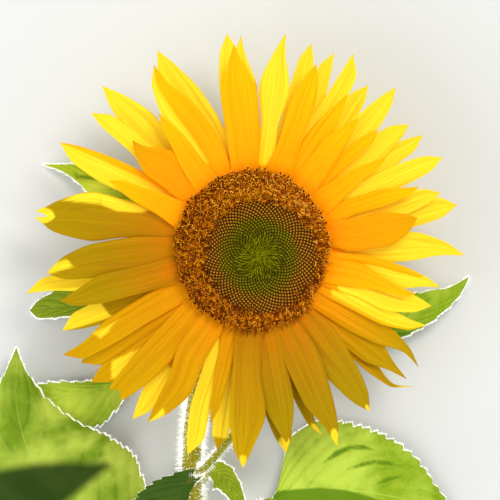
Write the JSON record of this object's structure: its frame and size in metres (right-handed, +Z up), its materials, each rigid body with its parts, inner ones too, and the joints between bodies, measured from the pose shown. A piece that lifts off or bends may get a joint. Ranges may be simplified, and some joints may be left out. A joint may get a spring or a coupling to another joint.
{
  "type": "cut sunflower bloom",
  "caption": "Cut sunflower lying face up: pointed yellow ray petals round a disc of small florets, on a curved hairy stem with toothed leaves.",
  "frame": {"origin": "middle of the footprint, on the surface that the flower lies on", "axes": "+Z up, the way the bloom faces; +Y along the stem from its cut end towards the bloom; +X to the right seen from above"},
  "size_m": [0.299, 0.3566, 0.0825],
  "materials": {
    "petal": "satin, finely veined",
    "disc": "rough, densely set with small florets",
    "bract": "matt, downy",
    "stem": "ribbed, with stiff white hairs",
    "leaf": "matt, veined and rough to the touch"
  },
  "bodies": {
    "root": {"stem": "stem", "receptacle": "bract", "disc": "disc", "ray_01": "petal", "ray_02": "petal", "ray_03": "petal", "ray_04": "petal", "ray_05": "petal", "ray_06": "petal", "ray_07": "petal", "ray_08": "petal", "ray_09": "petal", "ray_10": "petal", "ray_11": "petal", "ray_12": "petal", "ray_13": "petal", "ray_14": "petal", "ray_15": "petal", "ray_16": "petal", "ray_17": "petal", "ray_18": "petal", "ray_19": "petal", "ray_20": "petal", "ray_21": "petal", "ray_22": "petal", "ray_23": "petal", "ray_24": "petal", "ray_25": "petal", "ray_26": "petal", "ray_27": "petal", "ray_28": "petal", "ray_29": "petal", "ray_30": "petal", "ray_31": "petal", "ray_32": "petal", "ray_33": "petal", "ray_34": "petal", "ray_35": "petal", "ray_36": "petal", "ray_37": "petal", "ray_38": "petal", "ray_39": "petal", "ray_40": "petal", "ray_41": "petal", "ray_42": "petal", "ray_43": "petal", "ray_44": "petal", "ray_45": "petal", "ray_46": "petal", "ray_47": "petal", "ray_48": "petal", "ray_49": "petal", "leaf_top_left": "leaf", "leaf_left": "leaf", "leaf_right": "leaf", "leaf_lower_right": "leaf", "leaf_small": "leaf", "leaf_front": "leaf", "leaf_lower_left": "leaf", "leaf_behind": "leaf"}
  },
  "joints": []
}
